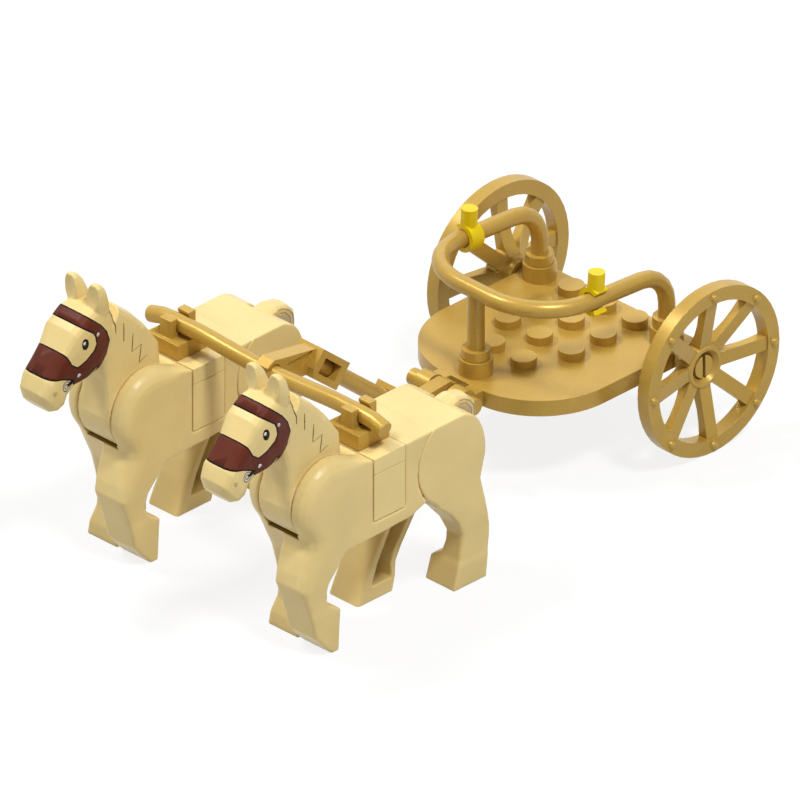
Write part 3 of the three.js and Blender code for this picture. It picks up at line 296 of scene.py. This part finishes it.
def link_object(name, mesh):
    made = bpy.data.objects.new(name, mesh)
    bpy.context.scene.collection.objects.link(made)
    return made


# The mesh an object shows once its modifiers have run
def settled(made):
    bpy.context.view_layer.update()
    shown = made.evaluated_get(bpy.context.evaluated_depsgraph_get())
    mesh = bpy.data.meshes.new_from_object(shown)
    mesh.name = made.name
    made.modifiers.clear()
    made.data = mesh
    return made


def finished(made, finish, slot_name, body, *nodes):
    made.data.materials.clear()
    made.data.materials.append(finish)
    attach(made, body)
    if nodes:
        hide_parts(*nodes)
    return made


# A CAD solid's faces, with coplanar ones joined
def copied(node):
    mesh = frame["nodes"][node].data.copy()
    mesh.name = node + "_skin"
    shape = bmesh.new()
    shape.from_mesh(mesh)
    bmesh.ops.remove_doubles(shape, verts=shape.verts, dist=MERGE_DISTANCE)
    bmesh.ops.dissolve_limit(
        shape, angle_limit=FLAT_ANGLE, verts=shape.verts, edges=shape.edges
    )
    for face in shape.faces:
        face.smooth = True
    shape.to_mesh(mesh)
    shape.free()
    return link_object(node + "_skin", mesh)


# A CAD solid with its edges rounded as moulding rounds them
def moulded(node, body, finish, slot_name):
    made = copied(node)
    bevel = made.modifiers.new("rounding", "BEVEL")
    bevel.width = EDGE_ROUNDING
    bevel.segments = EDGE_SEGMENTS
    bevel.limit_method = "ANGLE"
    bevel.angle_limit = EDGE_ANGLE
    bevel.harden_normals = True
    normals = made.modifiers.new("normals", "WEIGHTED_NORMAL")
    normals.keep_sharp = True
    return finished(made, finish, slot_name, body, node)


# A CAD solid with one soft skin over all its parts, kept inside the solid's own box
def softened(node, body, finish, slot_name, voxel=VOXEL, cutter=None):
    made = copied(node)
    remesh = made.modifiers.new("remesh", "REMESH")
    remesh.mode = "VOXEL"
    remesh.voxel_size = voxel
    remesh.use_smooth_shade = True
    smooth = made.modifiers.new("smooth", "SMOOTH")
    smooth.factor = SMOOTHING_SHARE
    smooth.iterations = SKIN_SMOOTHING
    fewer = made.modifiers.new("fewer", "DECIMATE")
    fewer.ratio = SKIN_KEPT_SHARE
    if cutter:
        cut = made.modifiers.new("cut", "BOOLEAN")
        cut.operation = "DIFFERENCE"
        cut.object = cutter
    settled(made)
    if cutter:
        bpy.data.objects.remove(cutter)
    low, high = bounds_of(node)
    for vertex in made.data.vertices:
        vertex.co = [min(max(vertex.co[i], low[i]), high[i]) for i in range(3)]
    return finished(made, finish, slot_name, body, node)


# Places on a horse in side view: forward of the yoke's axis and up, as shares of the back's height
def in_world(share):
    forward, up = share
    return (yoke_axis.y - forward * BACK_HEIGHT, up * BACK_HEIGHT)


def bounds_of(*nodes):
    places = [v.co for node in nodes for v in frame["nodes"][node].data.vertices]
    low = Vector([min(place[i] for place in places) for i in range(3)])
    high = Vector([max(place[i] for place in places) for i in range(3)])
    return low, high


# A closed box between two corners
def block(name, low, high):
    shape = bmesh.new()
    rings = []
    for z in (low.z, high.z):
        corners = ((low.x, low.y), (high.x, low.y), (high.x, high.y), (low.x, high.y))
        rings.append([shape.verts.new((x, y, z)) for x, y in corners])
    shape.faces.new(rings[0][::-1])
    shape.faces.new(rings[1])
    for i in range(4):
        after = (i + 1) % 4
        shape.faces.new((rings[0][i], rings[0][after], rings[1][after], rings[1][i]))
    mesh = bpy.data.meshes.new(name)
    shape.to_mesh(mesh)
    shape.free()
    return link_object(name, mesh)


# A hidden wall across the middle of the saddle pocket, so that no light shows through its seams; its
# darker tan is painted shade
def pocket_shade_wall(side, finish):
    horse = side + "_horse_"
    low, high = bounds_of(horse + "filler_brick", horse + "jumper_plate")
    middle = joint_places[horse + "pitch"].x
    low = Vector((middle, low.y, low.z)) - POCKET_WALL_MARGIN
    high = Vector((middle, high.y, high.z)) + POCKET_WALL_REACH
    return finished(
        block(horse + "pocket_shade_wall", low, high), finish, "tan_plastic", horse + "body"
    )


# The open slot below the neck, as two corners
def chest_slot(side):
    y, z = in_world(CHEST_SLOT_SHARE)
    centre = Vector((joint_places[side + "_horse_pitch"].x, y, z))
    return centre - CHEST_SLOT_HALF, centre + CHEST_SLOT_HALF


# A sheet of painted shade on that slot's floor, from just behind its lip
def painted_slot_shade(side, finish):
    low, high = chest_slot(side)
    skin = bpy.data.objects[side + "_horse_torso_skin"].data
    lip = min(
        v.co.y
        for v in skin.vertices
        if abs(v.co.z - low.z) < SHADE_SHEET_INSET and low.x < v.co.x < high.x
    )
    low = Vector((low.x + SHADE_SHEET_INSET, lip + LIP_WIDTH, low.z - SHADE_SHEET_INSET))
    high = Vector((high.x - SHADE_SHEET_INSET, high.y - SHADE_SHEET_INSET, low.z + 2 * SHADE_SHEET_INSET))
    made = block(side + "_horse_slot_lining", low, high)
    return finished(made, finish, "tan_plastic", side + "_horse_body")


def inside(outline, y, z):
    hit = False
    for (ya, za), (yb, zb) in zip(outline, outline[1:] + outline[:1]):
        if (za > z) != (zb > z) and y < ya + (z - za) * (yb - ya) / (zb - za):
            hit = not hit
    return hit


# A closed outline grown outwards by a distance
def grown(outline, distance):
    area = sum(
        ya * zb - yb * za for (ya, za), (yb, zb) in zip(outline, outline[1:] + outline[:1])
    )
    turn = math.copysign(distance, area)
    made = []
    for i, (y, z) in enumerate(outline):
        back = Vector((y, z)) - Vector(outline[i - 1])
        ahead = Vector(outline[(i + 1) % len(outline)]) - Vector((y, z))
        out_back = Vector((back.y, -back.x)).normalized()
        out_ahead = Vector((ahead.y, -ahead.x)).normalized()
        mitre = (out_back + out_ahead).normalized()
        reach = turn / max(MITRE_LIMIT, mitre.dot(out_back))
        made.append((y + mitre.x * reach, z + mitre.y * reach))
    return made


# A thin closed layer lifted off a skin, inside outlines in side view, where an inner outline is a hole
def layer(name, skin, outlines, lift):
    shape = bmesh.new()
    shape.from_mesh(skin.data)
    ys = [y for outline in outlines for y, z in outline]
    zs = [z for outline in outlines for y, z in outline]
    far = [
        f
        for f in shape.faces
        if not (
            min(ys) - PRINT_MARGIN < f.calc_center_median().y < max(ys) + PRINT_MARGIN
            and min(zs) - PRINT_MARGIN < f.calc_center_median().z < max(zs) + PRINT_MARGIN
        )
    ]
    bmesh.ops.delete(shape, geom=far, context="FACES")
    for outline in outlines:
        for (ya, za), (yb, zb) in zip(outline, outline[1:] + outline[:1]):
            middle = Vector(((ya + yb) / 2, (za + zb) / 2))
            reach = Vector((yb - ya, zb - za)).length / 2 + PRINT_MARGIN
            near = [
                f
                for f in shape.faces
                if (Vector(f.calc_center_median().yz) - middle).length < reach
            ]
            geometry = near + list({e for f in near for e in f.edges})
            geometry += list({v for f in near for v in f.verts})
            bmesh.ops.bisect_plane(
                shape,
                geom=geometry,
                dist=CUT_TOLERANCE,
                plane_co=(0, ya, za),
                plane_no=(0, zb - za, ya - yb),
            )
    outside = []
    for face in shape.faces:
        centre = face.calc_center_median()
        if sum(inside(outline, centre.y, centre.z) for outline in outlines) % 2 == 0:
            outside.append(face)
    bmesh.ops.delete(shape, geom=outside, context="FACES")
    shape.normal_update()
    normals = [(v, v.normal.copy()) for v in shape.verts]
    for vertex, normal in normals:
        vertex.co += normal * lift
    mesh = bpy.data.meshes.new(name)
    shape.to_mesh(mesh)
    shape.free()
    made = link_object(name, mesh)
    thick = made.modifiers.new("thickness", "SOLIDIFY")
    thick.thickness = PRINT_DEPTH
    thick.offset = -1.0
    return settled(made)


def oval(centre, half_forward, half_up, tilt=0.0):
    middle = in_world(centre)
    made = []
    for i in range(OVAL_SIDES):
        angle = 2 * math.pi * i / OVAL_SIDES
        y = half_forward * math.cos(angle)
        z = half_up * math.sin(angle)
        made.append(
            (
                middle[0] + y * math.cos(tilt) - z * math.sin(tilt),
                middle[1] + y * math.sin(tilt) + z * math.cos(tilt),
            )
        )
    return made


# A narrow outline along a line of places, narrower at its ends
def stroke(shares, width):
    places = [Vector(in_world(share)) for share in shares]
    left, right = [], []
    for i, place in enumerate(places):
        along = places[min(i + 1, len(places) - 1)] - places[max(i - 1, 0)]
        across = Vector((-along.y, along.x)).normalized() * width / 2
        if 0 < i < len(places) - 1:
            left.append(tuple(place + across))
            right.append(tuple(place - across))
        else:
            left.append(tuple(place + across * STROKE_END_SHARE))
            right.append(tuple(place - across * STROKE_END_SHARE))
    return left + right[::-1]


def head_prints(side):
    skin = bpy.data.objects[side + "_horse_neck_and_head_skin"]
    body = side + "_horse_neck"
    bridle = [in_world(share) for share in BRIDLE_SHARES]
    bit_strap = stroke(BIT_STRAP_SHARES, BIT_STRAP_WIDTH)
    outer, inner = BIT_RADIUS + BIT_BORDER, BIT_BORE - BIT_BORDER
    bit = [oval(BIT_SHARE, BIT_RADIUS, BIT_RADIUS), oval(BIT_SHARE, BIT_BORE, BIT_BORE)]
    bit_border = [oval(BIT_SHARE, outer, outer), oval(BIT_SHARE, inner, inner)]
    eye = [oval(EYE_SHARE, EYE_HALF_WIDTH, EYE_HALF_HEIGHT, tilt=EYE_TILT)]
    nostril = [oval(NOSTRIL_SHARE, NOSTRIL_HALF_WIDTH, NOSTRIL_HALF_HEIGHT)]
    prints = [
        ("bridle_border", [grown(bridle, PRINT_LINE)], LINE_LIFT, black),
        ("bridle_strap", [bridle], STRAP_LIFT, brown),
        ("bit_border", bit_border, BIT_BORDER_LIFT, black),
        ("bit_ring", bit, STRAP_LIFT, silver),
        ("bit_strap", [bit_strap], BADGE_LIFT, black),
        ("eye", eye, STRAP_LIFT, black),
        ("eye_glint", [oval(GLINT_SHARE, GLINT_RADIUS, GLINT_RADIUS)], BADGE_LIFT, white),
        # The nostril is a dimple, drawn as a spot of painted shade rather than print
        ("nostril", nostril, LINE_LIFT, painted_nostril_shade),
    ]
    for i, share in enumerate(STUD_SHARES):
        place = [oval(share, STUD_RADIUS, STUD_RADIUS)]
        prints.append((f"bridle_stud_{i + 1}", place, BADGE_LIFT, silver))
    # The mane's grooves are drawn as lines of painted shade, not print
    for i, shares in enumerate(MANE_SHARES):
        prints.append((f"mane_line_{i + 1}", [stroke(shares, MANE_WIDTH)], LINE_LIFT, groove_and_seam_shade))
    # So are the mane's ties, in a fainter painted shade
    for i, shares in enumerate(MANE_TIE_SHARES):
        prints.append((f"mane_tie_{i + 1}", [stroke(shares, MANE_TIE_WIDTH)], LINE_LIFT, shade))
    for name, outlines, lift, finish in prints:
        made = layer(f"{side}_{name}", skin, outlines, lift)
        finished(made, finish, "tan_plastic", body)


# Tail strands are drawn as lines of painted shade where the moulded grooves hold shade
def tail_strands(side):
    skin = bpy.data.objects[side + "_horse_tail_skin"]
    for i, shares in enumerate(TAIL_SHARES):
        outline = stroke(shares, TAIL_LINE_WIDTH)
        made = layer(f"{side}_tail_strand_{i + 1}", skin, [outline], LINE_LIFT)
        finished(made, shade, "tan_plastic", side + "_horse_rear")


def camera():
    data = bpy.data.cameras.new("camera")
    data.type = "ORTHO"
    data.ortho_scale = VIEW_WIDTH
    data.clip_start = NEAR_CLIP
    data.clip_end = FAR_CLIP
    made = link_object("camera", data)
    away = Vector(
        (
            math.cos(ELEVATION) * math.sin(AZIMUTH),
            -math.cos(ELEVATION) * math.cos(AZIMUTH),
            math.sin(ELEVATION),
        )
    )
    target = Vector((TARGET_LEFT, rear_edge - TARGET_FORWARD, TARGET_HEIGHT))
    made.location = target + away * CAMERA_DISTANCE
    made.rotation_euler = (-away).to_track_quat("-Z", "Y").to_euler()
    bpy.context.scene.camera = made


# A broad, soft, distant lamp
def sun(name, towards, strength, spread):
    data = bpy.data.lights.new(name, "SUN")
    data.energy = strength
    data.angle = math.radians(spread)
    made = link_object(name, data)
    made.rotation_euler = Vector(towards).to_track_quat("Z", "Y").to_euler()


# One where the camera, a gloss or a clear piece looks, and nought for plain light
def looked_at(tree):
    path = tree.nodes.new("ShaderNodeLightPath")
    total = path.outputs["Is Camera Ray"]
    for name in ("Is Glossy Ray", "Is Transmission Ray"):
        added = tree.nodes.new("ShaderNodeMath")
        added.operation = "MAXIMUM"
        tree.links.new(total, added.inputs[0])
        tree.links.new(path.outputs[name], added.inputs[1])
        total = added.outputs["Value"]
    return total


def studio():
    world = bpy.data.worlds.new("studio")
    bpy.context.scene.world = world
    world.use_nodes = True
    tree = world.node_tree
    shell = tree.nodes["Background"]
    shell.inputs["Color"].default_value = (1.0, 1.0, 1.0, 1.0)
    tree.links.new(remapped(tree, looked_at(tree), AMBIENT, 1.0), shell.inputs["Strength"])
    for lamp in LAMPS:
        sun(*lamp)

    mesh = bpy.data.meshes.new("floor")
    r = FLOOR_REACH
    mesh.from_pydata([(-r, -r, 0), (r, -r, 0), (r, r, 0), (-r, r, 0)], [], [(0, 1, 2, 3)])
    floor = link_object("floor", mesh)
    paper = bpy.data.materials.new("pale_floor")
    paper.use_nodes = True
    tree = paper.node_tree
    shader = tree.nodes["Principled BSDF"]
    shader.inputs["Base Color"].default_value = (FLOOR_ALBEDO,) * 3 + (1.0,)
    shader.inputs["Roughness"].default_value = FLOOR_ROUGHNESS
    shader.inputs["Specular IOR Level"].default_value = 0.0
    glow = tree.nodes.new("ShaderNodeEmission")
    glow.inputs["Strength"].default_value = FLOOR_GLOW
    mixed = tree.nodes.new("ShaderNodeMixShader")
    share = remapped(tree, looked_at(tree), 0.0, FLOOR_GLOW_SHARE)
    tree.links.new(share, mixed.inputs["Fac"])
    tree.links.new(shader.outputs["BSDF"], mixed.inputs[1])
    tree.links.new(glow.outputs["Emission"], mixed.inputs[2])
    tree.links.new(mixed.outputs["Shader"], tree.nodes["Material Output"].inputs["Surface"])
    mesh.materials.append(paper)


bpy.context.scene.view_settings.view_transform = "Standard"

gold = plastic("gold_plastic_skin", GOLD, 0.31, metallic=0.25, flake=0.06)
yellow = plastic("yellow_plastic_skin", YELLOW, 0.3, sheen=0.25)
tan = plastic("tan_plastic_skin", TAN, 0.34)
brown = plastic("printed_brown", BROWN, 0.45, mottle=0.14, edge_wear_and_highlight=0.0, grain=0.12, sheen=0.2)
black = plastic("printed_black", BLACK, 0.5, mottle=0.1, edge_wear_and_highlight=0.0, sheen=0.15)
white = plastic("printed_white", WHITE, 0.3, mottle=0.03, edge_wear_and_highlight=0.0)
silver = plastic("printed_silver", SILVER, 0.3, metallic=0.5, edge_wear_and_highlight=0.0)
groove_and_seam_shade = plastic("painted_groove_and_seam_shade", GROOVE_AND_SEAM_SHADE, 0.6, mottle=0.12, edge_wear_and_highlight=0.0)
shade = plastic("faint_shade", SHADE, 0.6, mottle=0.1, edge_wear_and_highlight=0.0)
slot_shade_finish = plastic("slot_shadow", SLOT_SHADE, 0.7, mottle=0.12, edge_wear_and_highlight=0.0, sheen=0.1)
painted_nostril_shade = plastic("nostril_shade", NOSTRIL_SHADE, 0.5, mottle=0.08, edge_wear_and_highlight=0.0)

CHARIOT = {
    "platform": "chariot",
    "rail": "chariot",
    "wheel_left": "wheel_left",
    "wheel_right": "wheel_right",
    "pole_rear_holder": "pole_rear",
    "pole_front_holder": "pole_front",
    "pole_rod": "pole_rod",
    "yoke_bar": "yoke",
}
for node, body in CHARIOT.items():
    moulded(node, body, gold, "gold_plastic")
for side in ("left", "right"):
    moulded("grip_" + side, "grip_" + side, yellow, "yellow_plastic")
    horse = side + "_horse_"
    for part in ("filler_brick", "jumper_plate"):
        moulded(horse + part, horse + "body", tan, "tan_plastic")
    moulded(horse + "yoke_clip", horse + "body", gold, "gold_plastic")
    slot_cutter = block(side + "_slot_cutter", *chest_slot(side))
    softened(horse + "torso", horse + "body", tan, "tan_plastic", cutter=slot_cutter)
    softened(horse + "hindquarters", horse + "rear", tan, "tan_plastic")
    softened(horse + "tail", horse + "rear", tan, "tan_plastic", voxel=TAIL_VOXEL)
    softened(horse + "neck_and_head", horse + "neck", tan, "tan_plastic", voxel=HEAD_VOXEL)
    pocket_shade_wall(side, groove_and_seam_shade)
    painted_slot_shade(side, slot_shade_finish)
    tail_strands(side)
    head_prints(side)

camera()
studio()
